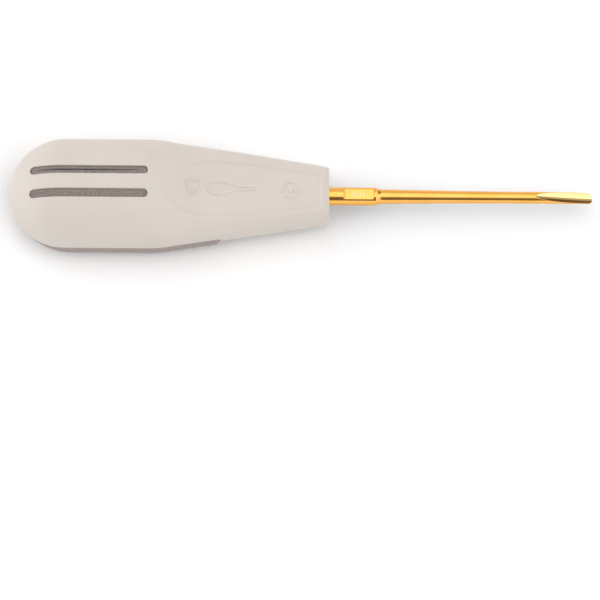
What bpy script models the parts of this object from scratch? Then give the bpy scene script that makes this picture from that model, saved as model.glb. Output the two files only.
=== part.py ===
# Dental elevator: a straight gouge blade pinned into a moulded palm handle.
# Blender 4.5. Run with: blender --background --python part.py
#
# Every piece is drawn in one tool frame. X runs from the rear of the handle to the blade tip,
# Z = 0 is the axis of the shank and Z points up. The empty tool_frame sets it down on the table.
# A "station" is a distance along X from the rear end of the handle.

import math

import bmesh
import bpy

MM = 0.001

# Overall
TOOL_LENGTH = 152.0 * MM
AXIS_HEIGHT = 7.0 * MM  # shank axis above the table
FIT_GAP = 0.3 * MM  # between pieces that touch

# Handle form
HANDLE_LENGTH = 83.4 * MM
REAR_RADIUS = 14.7 * MM  # half the widest width, and the radius of the rear end in plan
TAPER_START = 39.0 * MM
TAPER_BLEND = 2.5 * MM
NOSE_HALF_WIDTH = 7.45 * MM
CROWN = 11.3 * MM  # top of the dome above the axis
CROWN_STEP = 4.9 * MM  # how far the thumb slope drops
THUMB_SLOPE = (34.5 * MM, 48.0 * MM)
NOSE_FALL = 1.4 * MM  # the last gentle fall, along the panel to the nose
NOSE_FALL_START = 50.0 * MM
NOSE_EDGE_RADIUS = 0.8 * MM
CHIN_DEPTH = 5.85 * MM  # underside of the shell below the axis, where the pad ends
NOSE_DEPTH = 5.0 * MM
REAR_SQUARENESS = 2.05  # superellipse power of the section
NOSE_SQUARENESS = 3.0
SQUARE_FROM = 65.0 * MM

# Shell
WALL = 1.8 * MM
CHIN_WALL = 1.5 * MM
PANEL_WALL = 1.2 * MM
CAVITY_FRONT = 72.0 * MM
PEG_RADIUS = 1.5 * MM
PEG_BOTTOM = 1.0 * MM
PEG_TOP_SHARE = 0.7  # of the crown's height, so that the peg ends inside the shell's wall
PEG_STATION = 21.0 * MM
PEG_OFFSET = 9.0 * MM

# Thumb panel, a shallow pocket in the shell
PANEL_REAR = 39.8 * MM
PANEL_FRONT = 82.0 * MM
PANEL_WIDEST = 54.0 * MM
PANEL_HALF_WIDTH = 8.0 * MM
PANEL_FRONT_HALF_WIDTH = 4.6 * MM
PANEL_SIDE_POWER = 1.3  # over 1, so that the sides bow outwards
PANEL_STEP = 0.3 * MM  # height of the wall round the pocket

# Slots in the shell and the soft ribs that fill them
SLOT_REAR = 6.0 * MM
SLOT_FRONT = 36.5 * MM
SLOT_OFFSET = 3.15 * MM
SLOT_HALF_WIDTH = 1.08 * MM
RIB_GAP = 0.15 * MM
RIB_RECESS = 0.6 * MM
FOOT_MARGIN = 0.8 * MM
FOOT_BOTTOM = 6.2 * MM

# Core
CORE_CORNER = 2.4 * MM
CORE_STEP = 48.0 * MM  # where its flat bottom starts to turn into the round section of the nose

# Palm pad
PAD_FRONT = 55.0 * MM
PAD_INSET = 0.15 * MM
PAD_CORNER = 3.6 * MM
PAD_CORNER_BLEND = (4.0 * MM, 17.0 * MM)  # from a fully round section at the rear to that corner
PAD_FRONT_RADIUS = 1.1 * MM
PAD_THICKNESS = 2.2 * MM
STUD_RADIUS = 2.0 * MM
STUD_TOP = -2.6 * MM
STUD_PLACES = ((12.0 * MM, 0.0), (30.0 * MM, 0.0), (46.0 * MM, 6.5 * MM), (46.0 * MM, -6.5 * MM))

# Blade, shank, collar and tang: one bar of steel
TIP_RADIUS = 1.5 * MM
SHOULDER_STATION = 95.7 * MM
COLLAR_RADIUS = 2.3 * MM
COLLAR_REAR = 76.4 * MM
TANG_RADIUS = 1.8 * MM
TANG_REAR = 40.0 * MM
FLUTE_START = 137.1 * MM
FLUTE_RADIUS = 2.4 * MM
FLUTE_FALL = 0.215  # slope of the flute's floor where it starts
FLUTE_BOW = 0.0038 / MM  # eases that slope off towards the tip, leaving 0.7 mm of steel there
FLUTE_STATIONS = 24
FLUTE_SIDES = 64
TIP_ROUNDING = 1.4 * MM
FLAT_REAR = 87.1 * MM
FLAT_FRONT = 95.1 * MM
FLAT_HEIGHT = 1.85 * MM  # of the marking flat above the axis

# Inner fittings
PIN_RADIUS = 0.75 * MM
PIN_HALF_LENGTH = 4.5 * MM
PIN_STATION = 50.0 * MM
SEAL_RADIUS = 3.1 * MM
SEAL_BORE = 2.1 * MM
SEAL_SPAN = (74.0 * MM, 76.1 * MM)

# Turns a cylinder from upright to lie along X or across Y
ALONG = (0, math.radians(90), 0)
ACROSS = (math.radians(90), 0, 0)

# Mesh density
SHELL_RING = 46
INNER_RING = 30
TURNED_STEPS = 40
HOLE_SIDES = 24

FINISHES = {
    "shell_plastic": ((0.69, 0.64, 0.58), 0.45, 0.0),
    "grip_rubber": ((0.26, 0.22, 0.20), 0.8, 0.0),
    "core_plastic": ((0.10, 0.10, 0.11), 0.55, 0.0),
    "coated_steel": ((0.90, 0.55, 0.16), 0.15, 1.0),
    "plain_steel": ((0.60, 0.61, 0.63), 0.3, 1.0),
    "seal_rubber": ((0.03, 0.03, 0.03), 0.7, 0.0),
}


# ---- scene -------------------------------------------------------------------------------

for leftover in list(bpy.data.objects):
    bpy.data.objects.remove(leftover)

parts = bpy.data.collections.new("dental_elevator")
cutters = bpy.data.collections.new("cutters")
for collection in (parts, cutters):
    bpy.context.scene.collection.children.link(collection)

tool_frame = bpy.data.objects.new("tool_frame", None)
tool_frame.location = (-TOOL_LENGTH / 2, 0, AXIS_HEIGHT)
parts.objects.link(tool_frame)


def make_finish(name):
    colour, roughness, metallic = FINISHES[name]
    finish = bpy.data.materials.new(name)
    finish.use_nodes = True
    shader = finish.node_tree.nodes["Principled BSDF"]
    shader.inputs["Base Color"].default_value = (*colour, 1)
    shader.inputs["Roughness"].default_value = roughness
    shader.inputs["Metallic"].default_value = metallic
    return finish


finishes = {name: make_finish(name) for name in FINISHES}


def add_piece(name, mesh, finish=None):
    """Puts a mesh in the tool frame: as a part if it has a finish, or else as a hidden helper."""
    piece = bpy.data.objects.new(name, mesh)
    piece.parent = tool_frame
    if finish:
        mesh.materials.append(finishes[finish])
        parts.objects.link(piece)
    else:
        cutters.objects.link(piece)
        piece.hide_render = True
        piece.display_type = "WIRE"
    return piece


def combine(target, tool, operation):
    modifier = target.modifiers.new(f"{operation.lower()}_{tool.name}", "BOOLEAN")
    modifier.object = tool
    modifier.operation = operation
    modifier.solver = "EXACT"


def shade_smooth(piece, sharp_degrees=35):
    piece.data.shade_smooth()
    piece.data.set_sharp_from_angle(angle=math.radians(sharp_degrees))


# ---- shapes that several pieces use ------------------------------------------------------


def loft(name, rings, finish=None):
    """A closed solid through rings of equal count. A ring of one point is a pole."""
    bm = bmesh.new()
    loops = [[bm.verts.new(point) for point in ring] for ring in rings]
    for near, far in zip(loops, loops[1:]):
        count = max(len(near), len(far))
        for i in range(count):
            j = (i + 1) % count
            if len(near) == 1:
                bm.faces.new((near[0], far[j], far[i]))
            elif len(far) == 1:
                bm.faces.new((near[i], near[j], far[0]))
            else:
                bm.faces.new((near[i], near[j], far[j], far[i]))
    for end in (loops[0], loops[-1]):
        if len(end) > 2:
            bm.faces.new(end)
    bmesh.ops.triangulate(bm, faces=bm.faces)
    bmesh.ops.recalc_face_normals(bm, faces=bm.faces)
    mesh = bpy.data.meshes.new(name)
    bm.to_mesh(mesh)
    bm.free()
    return add_piece(name, mesh, finish)


def prism(name, outline, low, high, side_view=False, finish=None):
    """A flat outline given thickness: drawn in plan between two heights, or in side view across Y."""
    curve = bpy.data.curves.new(name, "CURVE")
    curve.dimensions = "2D"
    curve.fill_mode = "BOTH"
    curve.extrude = (high - low) / 2
    spline = curve.splines.new("POLY")
    spline.points.add(len(outline) - 1)
    for point, (along, across) in zip(spline.points, outline):
        point.co = (along, across, 0, 1)
    spline.use_cyclic_u = True
    drawn = bpy.data.objects.new(name + "_outline", curve)
    cutters.objects.link(drawn)
    mesh = bpy.data.meshes.new_from_object(drawn.evaluated_get(bpy.context.evaluated_depsgraph_get()))
    bpy.data.objects.remove(drawn)
    bm = bmesh.new()
    bm.from_mesh(mesh)
    bmesh.ops.remove_doubles(bm, verts=bm.verts, dist=1e-6)
    bmesh.ops.translate(bm, verts=bm.verts, vec=(0, 0, (low + high) / 2))
    if side_view:
        for vert in bm.verts:
            vert.co = (vert.co.x, vert.co.z, vert.co.y)
    bm.normal_update()
    bmesh.ops.recalc_face_normals(bm, faces=bm.faces)
    bm.to_mesh(mesh)
    bm.free()
    mesh.name = name
    return add_piece(name, mesh, finish)


def cylinder(name, radius, length, centre, rotation=(0, 0, 0), finish=None, sides=HOLE_SIDES):
    bm = bmesh.new()
    bmesh.ops.create_cone(
        bm, cap_ends=True, segments=sides, radius1=radius, radius2=radius, depth=length
    )
    mesh = bpy.data.meshes.new(name)
    bm.to_mesh(mesh)
    bm.free()
    piece = add_piece(name, mesh, finish)
    piece.location = centre
    piece.rotation_euler = rotation
    return piece


def cross_hole(name, radius):
    return cylinder(name, radius, 4 * REAR_RADIUS, (PIN_STATION, 0, 0), ACROSS)


def box(name, low, high):
    bm = bmesh.new()
    bmesh.ops.create_cube(bm, size=1)
    size = [b - a for a, b in zip(low, high)]
    bmesh.ops.scale(bm, verts=bm.verts, vec=size)
    mesh = bpy.data.meshes.new(name)
    bm.to_mesh(mesh)
    bm.free()
    piece = add_piece(name, mesh)
    piece.location = [(a + b) / 2 for a, b in zip(low, high)]
    return piece


def stadium(rear, front, offset, half_width, steps=8):
    """Outline of a slot with round ends, on the line Y = offset."""
    outline = []
    for centre, start in ((front - half_width, -90), (rear + half_width, 90)):
        for i in range(steps + 1):
            angle = math.radians(start + 180 * i / steps)
            along = centre + half_width * math.cos(angle)
            outline.append((along, offset + half_width * math.sin(angle)))
    return outline


# ---- the form of the handle --------------------------------------------------------------


def ease(value, start, end):
    """0 before start, 1 after end, and smooth between."""
    share = min(max((value - start) / (end - start), 0), 1)
    return share * share * (3 - 2 * share)


def ramp(value, start, blend):
    """0 before start, then rising by one for one, with the corner rounded over the blend."""
    past = value - start
    if abs(past) >= blend:
        return max(past, 0)
    return (past + blend) ** 2 / (4 * blend)


def rear_share(station, inset=0):
    """How much of its full size a section has in the round rear end."""
    if station >= REAR_RADIUS:
        return 1
    back = (REAR_RADIUS - station) / (REAR_RADIUS - inset)
    return math.sqrt(max(1 - back * back, 0))


def half_width(station, inset=0):
    slope = (REAR_RADIUS - NOSE_HALF_WIDTH) / (HANDLE_LENGTH - TAPER_START)
    width = REAR_RADIUS - slope * ramp(station, TAPER_START, TAPER_BLEND)
    return (width - inset) * rear_share(station, inset)


def crown_height(station, inset=0):
    height = CROWN - CROWN_STEP * ease(station, *THUMB_SLOPE)
    height -= NOSE_FALL * ramp(station, NOSE_FALL_START, 6 * MM) / (HANDLE_LENGTH - NOSE_FALL_START)
    return (height - inset) * rear_share(station, inset)


def chin_depth(station, inset=0):
    slope = (CHIN_DEPTH - NOSE_DEPTH) / (HANDLE_LENGTH - PAD_FRONT)
    return (CHIN_DEPTH - slope * (station - PAD_FRONT) - inset) * rear_share(station, inset)


def squareness(station):
    share = ease(station, THUMB_SLOPE[0], SQUARE_FROM)
    return REAR_SQUARENESS + (NOSE_SQUARENESS - REAR_SQUARENESS) * share


def dome_height(station, offset):
    """Height of the plain upper form above the axis, over one point."""
    power = squareness(station)
    return crown_height(station) * (1 - (offset / half_width(station)) ** power) ** (1 / power)


def panel_half_width(station):
    if station < PANEL_WIDEST:
        back = (PANEL_WIDEST - station) / (PANEL_WIDEST - PANEL_REAR)
        return PANEL_HALF_WIDTH * math.sqrt(max(1 - back * back, 0))
    share = ((station - PANEL_WIDEST) / (PANEL_FRONT - PANEL_WIDEST)) ** PANEL_SIDE_POWER
    return PANEL_HALF_WIDTH - (PANEL_HALF_WIDTH - PANEL_FRONT_HALF_WIDTH) * share


def panel_floor(station):
    """The pocket is flat across, one step lower than the dome along its outline."""
    within = min(max(station, PANEL_REAR), PANEL_FRONT)
    return dome_height(within, panel_half_width(within)) - PANEL_STEP


def cavity_height(station, inset=0):
    """Top of the hollow in the shell: one wall under the dome, and a thinner wall under the panel."""
    height = crown_height(station, WALL + inset)
    if station > PANEL_REAR - 3 * MM:
        height = min(height, panel_floor(station) - PANEL_WALL - inset)
    return height


def power_ring(station, half, up, down, power, count):
    """A superellipse section, with its own height above the axis and depth below it."""
    ring = []
    for i in range(count):
        angle = 2 * math.pi * i / count
        across, rise = math.cos(angle), math.sin(angle)
        reach = half * math.copysign(abs(across) ** (2 / power), across)
        height = (up if rise > 0 else down) * math.copysign(abs(rise) ** (2 / power), rise)
        ring.append((station, reach, height))
    return ring


def trough_ring(station, half, up, down, corner, count):
    """A section with a domed top, straight sides and a flat bottom with round corners."""
    corner = min(corner, down * 0.98, half * 0.6)
    arc = (count // 2 - 1) // 2
    ring = []
    for i in range(count // 2 + 1):
        angle = math.pi * i / (count // 2)
        ring.append((station, half * math.cos(angle), up * math.sin(angle)))
    for centre, start in ((-half + corner, 180), (half - corner, 270)):
        for i in range(arc):
            angle = math.radians(start + 90 * i / (arc - 1))
            across = centre + corner * math.cos(angle)
            ring.append((station, across, -down + corner + corner * math.sin(angle)))
    return ring


def rear_stations(inset, steps):
    """Stations round the rear end, closer together where it curves most, without the pole."""
    reach = REAR_RADIUS - inset
    return [REAR_RADIUS - reach * math.cos(math.radians(90 * i / steps)) for i in range(1, steps + 1)]


def even_stations(start, end, steps):
    return [start + (end - start) * i / steps for i in range(steps + 1)]


# ---- handle shell ------------------------------------------------------------------------


def outer_rings():
    stations = rear_stations(0, 8) + [24 * MM, 33 * MM]
    stations += even_stations(THUMB_SLOPE[0], PANEL_WIDEST, 13)
    stations += even_stations(PANEL_WIDEST, HANDLE_LENGTH - NOSE_EDGE_RADIUS, 9)[1:]
    rings = [[(0, 0, 0)]]
    for station in stations:
        rings.append(
            power_ring(
                station,
                half_width(station),
                crown_height(station),
                chin_depth(station),
                squareness(station),
                SHELL_RING,
            )
        )
    for turn in (30, 60, 90):  # the rounded edge of the nose
        station = HANDLE_LENGTH - NOSE_EDGE_RADIUS * (1 - math.sin(math.radians(turn)))
        inset = NOSE_EDGE_RADIUS * (1 - math.cos(math.radians(turn)))
        rings.append(
            power_ring(
                station,
                half_width(station, inset),
                crown_height(station, inset),
                chin_depth(station, inset),
                squareness(station),
                SHELL_RING,
            )
        )
    return rings


def cavity_rings():
    stations = rear_stations(WALL, 6) + [24 * MM, 34 * MM]
    stations += even_stations(38 * MM, CAVITY_FRONT, 12)
    rings = [[(WALL, 0, 0)]]
    for station in stations:
        rings.append(
            power_ring(
                station,
                half_width(station, WALL),
                cavity_height(station),
                chin_depth(station, CHIN_WALL),
                squareness(station),
                INNER_RING,
            )
        )
    return rings


def make_panel_cutter():
    steps = 12
    reach = PANEL_WIDEST - PANEL_REAR
    stations = [PANEL_WIDEST - reach * math.cos(math.radians(90 * i / steps)) for i in range(1, steps + 1)]
    stations += even_stations(PANEL_WIDEST, PANEL_FRONT, 6)[1:]
    near_side = [(s, -panel_half_width(s)) for s in stations]
    far_side = [(s, panel_half_width(s)) for s in reversed(stations)]
    plan = prism("panel_plan", [(PANEL_REAR, 0)] + near_side + far_side, 0, 2 * CROWN)
    slope_stations = even_stations(PANEL_REAR, PANEL_WIDEST, 10)
    floor_stations = [PANEL_REAR - 1 * MM] + slope_stations + even_stations(PANEL_WIDEST, PANEL_FRONT, 8)[1:]
    floor = [(s, panel_floor(s)) for s in floor_stations + [PANEL_FRONT + 1 * MM]]
    above = [(floor[-1][0], 1.5 * CROWN), (floor[0][0], 1.5 * CROWN)]
    side = prism("panel_side", floor + above, -REAR_RADIUS, REAR_RADIUS, side_view=True)
    combine(plan, side, "INTERSECT")
    return plan


def make_shell():
    shell = loft("handle_shell", outer_rings(), "shell_plastic")
    combine(shell, loft("cavity", cavity_rings()), "DIFFERENCE")
    peg_top = PEG_TOP_SHARE * crown_height(PEG_STATION)
    for side, sign in (("left", 1), ("right", -1)):
        centre = (PEG_STATION, sign * PEG_OFFSET, (peg_top + PEG_BOTTOM) / 2)
        peg = cylinder(f"peg_{side}", PEG_RADIUS, peg_top - PEG_BOTTOM, centre)
        combine(shell, peg, "UNION")
        outline = stadium(SLOT_REAR, SLOT_FRONT, sign * SLOT_OFFSET, SLOT_HALF_WIDTH)
        combine(shell, prism(f"slot_{side}", outline, 1 * MM, 2 * CROWN), "DIFFERENCE")
    low = (-5 * MM, -2 * REAR_RADIUS, -2 * CROWN)
    open_underside = box("open_underside", low, (PAD_FRONT + FIT_GAP, 2 * REAR_RADIUS, 0))
    combine(shell, open_underside, "DIFFERENCE")
    combine(shell, make_panel_cutter(), "DIFFERENCE")
    bore = cylinder(
        "collar_bore",
        COLLAR_RADIUS + FIT_GAP,
        30 * MM,
        (COLLAR_REAR + 15 * MM, 0, 0),
        ALONG,
    )
    combine(shell, bore, "DIFFERENCE")
    seal_seat = cylinder(
        "seal_seat",
        SEAL_RADIUS + FIT_GAP,
        COLLAR_REAR - CAVITY_FRONT + 1 * MM,
        ((COLLAR_REAR + CAVITY_FRONT) / 2 - 0.5 * MM, 0, 0),
        ALONG,
    )
    combine(shell, seal_seat, "DIFFERENCE")
    shade_smooth(shell)
    return shell


# ---- core, pad and ribs ------------------------------------------------------------------


def core_rings(grow, front):
    """The core's own form, or the same form grown by a gap to cut its neighbours."""
    inset = WALL + FIT_GAP - grow
    bottom = AXIS_HEIGHT - PAD_THICKNESS - FIT_GAP + grow
    rings = [[(inset, 0, 0)]]
    for station in rear_stations(inset, 6) + [24 * MM, 34 * MM] + even_stations(38 * MM, CORE_STEP, 3):
        share = rear_share(station, inset)
        half, up = half_width(station, inset), cavity_height(station, FIT_GAP - grow)
        rings.append(trough_ring(station, half, up, bottom * share, CORE_CORNER, INNER_RING))
    for station in even_stations(CORE_STEP + 4 * MM, front, 5):
        half, up = half_width(station, inset), cavity_height(station, FIT_GAP - grow)
        down = chin_depth(station, CHIN_WALL + FIT_GAP - grow)
        rings.append(power_ring(station, half, up, down, squareness(station), INNER_RING))
    return rings


def foot_outline(sign, grow=0):
    """Outline of the wide foot that holds a rib under the shell."""
    margin = FOOT_MARGIN + grow
    half = SLOT_HALF_WIDTH + margin
    return stadium(SLOT_REAR - margin, SLOT_FRONT + margin, sign * SLOT_OFFSET, half)


def make_core():
    core = loft("handle_core", core_rings(0, CAVITY_FRONT - 2 * MM), "core_plastic")
    tang_bore = cylinder(
        "tang_bore",
        TANG_RADIUS + FIT_GAP,
        60 * MM,
        (TANG_REAR - FIT_GAP + 30 * MM, 0, 0),
        ALONG,
    )
    combine(core, tang_bore, "DIFFERENCE")
    for side, sign in (("left", 1), ("right", -1)):
        pocket = prism(
            f"foot_pocket_{side}", foot_outline(sign, FIT_GAP), FOOT_BOTTOM - FIT_GAP, 2 * CROWN
        )
        combine(core, pocket, "DIFFERENCE")
        socket = cylinder(
            f"peg_socket_{side}",
            PEG_RADIUS + FIT_GAP,
            2 * CROWN,
            (PEG_STATION, sign * PEG_OFFSET, CROWN + PEG_BOTTOM - FIT_GAP),
        )
        combine(core, socket, "DIFFERENCE")
    for i, (station, offset) in enumerate(STUD_PLACES):
        top = STUD_TOP + FIT_GAP
        socket = cylinder(
            f"stud_socket_{i}",
            STUD_RADIUS + FIT_GAP,
            CROWN,
            (station, offset, top - CROWN / 2),
        )
        combine(core, socket, "DIFFERENCE")
    combine(core, cross_hole("pin_hole_in_core", PIN_RADIUS + FIT_GAP), "DIFFERENCE")
    shade_smooth(core)
    return core


def pad_ring(station, inset):
    """One section of the pad's outer form. Its corners are fully round at the rear end."""
    share = rear_share(station, PAD_INSET)
    down = (AXIS_HEIGHT - inset) * share
    corner = PAD_CORNER + (down - PAD_CORNER) * (1 - ease(station, *PAD_CORNER_BLEND))
    half = half_width(station, PAD_INSET + inset)
    return trough_ring(station, half, CROWN * share, down, corner, SHELL_RING)


def pad_rings():
    stations = rear_stations(PAD_INSET, 10) + [20 * MM, 27 * MM]
    stations += even_stations(34 * MM, PAD_FRONT - PAD_FRONT_RADIUS, 8)
    rings = [[(PAD_INSET, 0, 0)]] + [pad_ring(station, 0) for station in stations]
    for turn in (30, 60, 90):  # the rounded front edge
        station = PAD_FRONT - PAD_FRONT_RADIUS * (1 - math.sin(math.radians(turn)))
        inset = PAD_FRONT_RADIUS * (1 - math.cos(math.radians(turn)))
        rings.append(pad_ring(station, inset))
    return rings


def make_pad():
    pad = loft("palm_pad", pad_rings(), "grip_rubber")
    top = box(
        "pad_parting",
        (-5 * MM, -2 * REAR_RADIUS, -FIT_GAP),
        (HANDLE_LENGTH, 2 * REAR_RADIUS, 3 * CROWN),
    )
    combine(pad, top, "DIFFERENCE")
    combine(pad, loft("core_space", core_rings(FIT_GAP, CAVITY_FRONT)), "DIFFERENCE")
    for i, (station, offset) in enumerate(STUD_PLACES):
        bottom = -AXIS_HEIGHT + PAD_THICKNESS / 2
        stud = cylinder(
            f"stud_{i}",
            STUD_RADIUS,
            STUD_TOP - bottom,
            (station, offset, (STUD_TOP + bottom) / 2),
        )
        combine(pad, stud, "UNION")
    shade_smooth(pad)
    return pad


def dome_rings(inset, height):
    """The upper form of the handle drawn in by an inset, to trim what lies under it."""
    rings = [[(inset, 0, 0)]]
    for station in rear_stations(inset, 16) + [24 * MM, 34 * MM, 40 * MM]:
        half = half_width(station, inset)
        up = height(station)
        rings.append(power_ring(station, half, up, up, squareness(station), 2 * INNER_RING))
    return rings


def make_rib(side, sign):
    half = SLOT_HALF_WIDTH - RIB_GAP
    outline = stadium(SLOT_REAR + RIB_GAP, SLOT_FRONT - RIB_GAP, sign * SLOT_OFFSET, half)
    rib = prism(f"rib_strip_{side}", outline, FOOT_BOTTOM, 2 * CROWN, finish="grip_rubber")
    rib_trim = loft(
        f"rib_trim_{side}",
        dome_rings(RIB_RECESS, lambda station: crown_height(station, RIB_RECESS)),
    )
    combine(rib, rib_trim, "INTERSECT")
    foot = prism(f"foot_{side}", foot_outline(sign), FOOT_BOTTOM, 2 * CROWN)
    foot_trim = loft(
        f"foot_trim_{side}",
        dome_rings(WALL + FIT_GAP, lambda station: cavity_height(station, FIT_GAP)),
    )
    combine(foot, foot_trim, "INTERSECT")
    combine(rib, foot, "UNION")
    shade_smooth(rib)
    return rib


# ---- steel -------------------------------------------------------------------------------


def bar_profile():
    """Station and radius down the bar, from the blade tip to the end of the tang."""
    return (
        (TOOL_LENGTH, 0),
        (TOOL_LENGTH, TIP_RADIUS),
        (128 * MM, TIP_RADIUS + 0.03 * MM),
        (115 * MM, 1.62 * MM),
        (104 * MM, 1.77 * MM),
        (SHOULDER_STATION + 1.2 * MM, 1.87 * MM),
        (SHOULDER_STATION + 0.5 * MM, 1.95 * MM),
        (SHOULDER_STATION + 0.2 * MM, 2.1 * MM),
        (SHOULDER_STATION, COLLAR_RADIUS - 0.1 * MM),
        (SHOULDER_STATION - 0.1 * MM, COLLAR_RADIUS),
        (COLLAR_REAR, COLLAR_RADIUS),
        (COLLAR_REAR, TANG_RADIUS),
        (TANG_REAR + 0.6 * MM, TANG_RADIUS),
        (TANG_REAR, TANG_RADIUS - 0.6 * MM),
        (TANG_REAR, 0),
    )


def flute_floor(station):
    """Height of the flute's lowest line over the shank's axis."""
    run = station - FLUTE_START
    return TIP_RADIUS - (FLUTE_FALL * run - FLUTE_BOW * run**2)


def make_blade():
    mesh = bpy.data.meshes.new("blade_shank")
    profile = bar_profile()
    mesh.from_pydata(
        [(radius, 0, station) for station, radius in profile],
        [(i, i + 1) for i in range(len(profile) - 1)],
        [],
    )
    blade = add_piece("blade_shank", mesh, "coated_steel")
    blade.rotation_euler = (0, math.radians(90), 0)
    turned = blade.modifiers.new("turned", "SCREW")
    turned.axis = "Z"
    turned.steps = TURNED_STEPS
    turned.render_steps = TURNED_STEPS
    turned.use_merge_vertices = True
    turned.merge_threshold = 1e-6
    turned.use_smooth_shade = True

    # The flute: a round wheel ground in along a slope that eases off towards the tip.
    rings = []
    for station in even_stations(FLUTE_START - MM, TOOL_LENGTH + MM, FLUTE_STATIONS):
        middle = flute_floor(station) + FLUTE_RADIUS
        ring = []
        for i in range(FLUTE_SIDES):
            angle = 2 * math.pi * i / FLUTE_SIDES
            ring.append((station, FLUTE_RADIUS * math.sin(angle), middle - FLUTE_RADIUS * math.cos(angle)))
        rings.append(ring)
    flute = loft("flute", rings)
    combine(blade, flute, "DIFFERENCE")

    # Beyond the rounded tip, everything is cut away.
    outline = []
    for i in range(17):
        angle = math.radians(90 - 180 * i / 16)
        outline.append(
            (
                TOOL_LENGTH - TIP_ROUNDING * (1 - math.cos(angle)),
                1.04 * TIP_RADIUS * math.sin(angle),
            )
        )
    clear = 3 * TIP_RADIUS
    rear = TOOL_LENGTH - TIP_ROUNDING
    around = [
        (rear, -clear),
        (TOOL_LENGTH + clear, -clear),
        (TOOL_LENGTH + clear, clear),
        (rear, clear),
    ]
    combine(blade, prism("tip_rounding", outline + around, -clear, clear), "DIFFERENCE")

    marking_flat = box(
        "marking_flat",
        (FLAT_REAR, -2 * COLLAR_RADIUS, FLAT_HEIGHT),
        (FLAT_FRONT, 2 * COLLAR_RADIUS, 2 * COLLAR_RADIUS),
    )
    combine(blade, marking_flat, "DIFFERENCE")
    combine(blade, cross_hole("pin_hole_in_tang", PIN_RADIUS + FIT_GAP / 2), "DIFFERENCE")
    return blade


def make_pin():
    pin = cylinder(
        "tang_pin",
        PIN_RADIUS,
        2 * PIN_HALF_LENGTH,
        (PIN_STATION, 0, 0),
        ACROSS,
        "plain_steel",
    )
    shade_smooth(pin)


def make_seal():
    start, end = SEAL_SPAN
    seal = cylinder(
        "nose_seal",
        SEAL_RADIUS,
        end - start,
        ((start + end) / 2, 0, 0),
        ALONG,
        "seal_rubber",
    )
    hole = cylinder(
        "seal_hole",
        SEAL_BORE,
        3 * (end - start),
        ((start + end) / 2, 0, 0),
        ALONG,
    )
    combine(seal, hole, "DIFFERENCE")
    shade_smooth(seal)


make_shell()
make_core()
make_pad()
for rib_side, rib_sign in (("left", 1), ("right", -1)):
    make_rib(rib_side, rib_sign)
make_blade()
make_pin()
make_seal()
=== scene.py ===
# Dental elevator, finished look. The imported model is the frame, and the pieces that show are made again.
import math

import bmesh
import bpy
import numpy as np
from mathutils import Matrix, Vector


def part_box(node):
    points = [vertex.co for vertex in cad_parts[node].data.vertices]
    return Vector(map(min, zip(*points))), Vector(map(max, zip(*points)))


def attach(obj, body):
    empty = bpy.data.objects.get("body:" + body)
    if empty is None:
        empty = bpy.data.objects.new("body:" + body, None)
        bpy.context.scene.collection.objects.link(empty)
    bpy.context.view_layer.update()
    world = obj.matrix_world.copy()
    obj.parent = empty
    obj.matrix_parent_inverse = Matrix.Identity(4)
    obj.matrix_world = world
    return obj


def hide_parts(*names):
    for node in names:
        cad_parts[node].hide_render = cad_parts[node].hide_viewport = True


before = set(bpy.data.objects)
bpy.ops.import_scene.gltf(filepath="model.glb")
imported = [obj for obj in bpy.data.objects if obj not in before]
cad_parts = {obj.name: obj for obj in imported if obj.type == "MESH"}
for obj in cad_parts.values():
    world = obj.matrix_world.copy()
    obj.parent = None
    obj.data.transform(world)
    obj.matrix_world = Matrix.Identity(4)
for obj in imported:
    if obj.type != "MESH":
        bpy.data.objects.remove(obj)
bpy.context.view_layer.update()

mm = 0.001

# Shapes are worked out in millimetres: a station along the tool from the rear of the handle, an offset
# across it, and a height above the axis of the shank. The frame says where that lies.
shellLow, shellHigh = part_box("handle_shell")
bladeLow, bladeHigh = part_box("blade_shank")
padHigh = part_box("palm_pad")[1]
toolOrigin = np.array([shellLow[0], 0, (bladeLow[2] + bladeHigh[2]) / 2])
toolLength = (bladeHigh[0] - shellLow[0]) / mm
axisHeight = toolOrigin[2] / mm


def toFrame(points):
    return np.asarray(points, float) * mm + toolOrigin


def ease(value, start, end):  # 0 before start, 1 after end, smooth between
    share = np.clip((np.asarray(value, float) - start) / (end - start), 0, 1)
    return share * share * (3 - 2 * share)


def ramp(value, start, blend):  # 0, then one for one, with a rounded corner
    past = np.asarray(value, float) - start
    return np.where(np.abs(past) >= blend, np.maximum(past, 0), (past + blend) ** 2 / (4 * blend))


def makePiece(name, points, faces, finish=None):
    mesh = bpy.data.meshes.new(name)
    mesh.from_pydata(toFrame(points).tolist(), [], faces)
    bm = bmesh.new()
    bm.from_mesh(mesh)
    bmesh.ops.recalc_face_normals(bm, faces=bm.faces)
    bm.to_mesh(mesh)
    bm.free()
    piece = bpy.data.objects.new(name, mesh)
    bpy.context.scene.collection.objects.link(piece)
    if finish:
        mesh.materials.append(finish)
    return piece


def loftRings(name, rings, finish=None, firstPole=None, lastPole=None):
    # rings: equal lists of (station, offset, height); an end without a pole gets one flat face
    rings = np.asarray(rings, float)
    ringCount, count = rings.shape[:2]
    points = rings.reshape(-1, 3).tolist()
    faces = []
    for r in range(ringCount - 1):
        near, far = r * count, (r + 1) * count
        for i in range(count):
            j = (i + 1) % count
            faces.append((near + i, near + j, far + j, far + i))
    for pole, start in ((firstPole, 0), (lastPole, (ringCount - 1) * count)):
        if pole is None:
            faces.append(tuple(range(start, start + count)))
        else:
            points.append(pole)
            top = len(points) - 1
            faces += [(start + i, start + (i + 1) % count, top) for i in range(count)]
    return makePiece(name, points, faces, finish)


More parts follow.
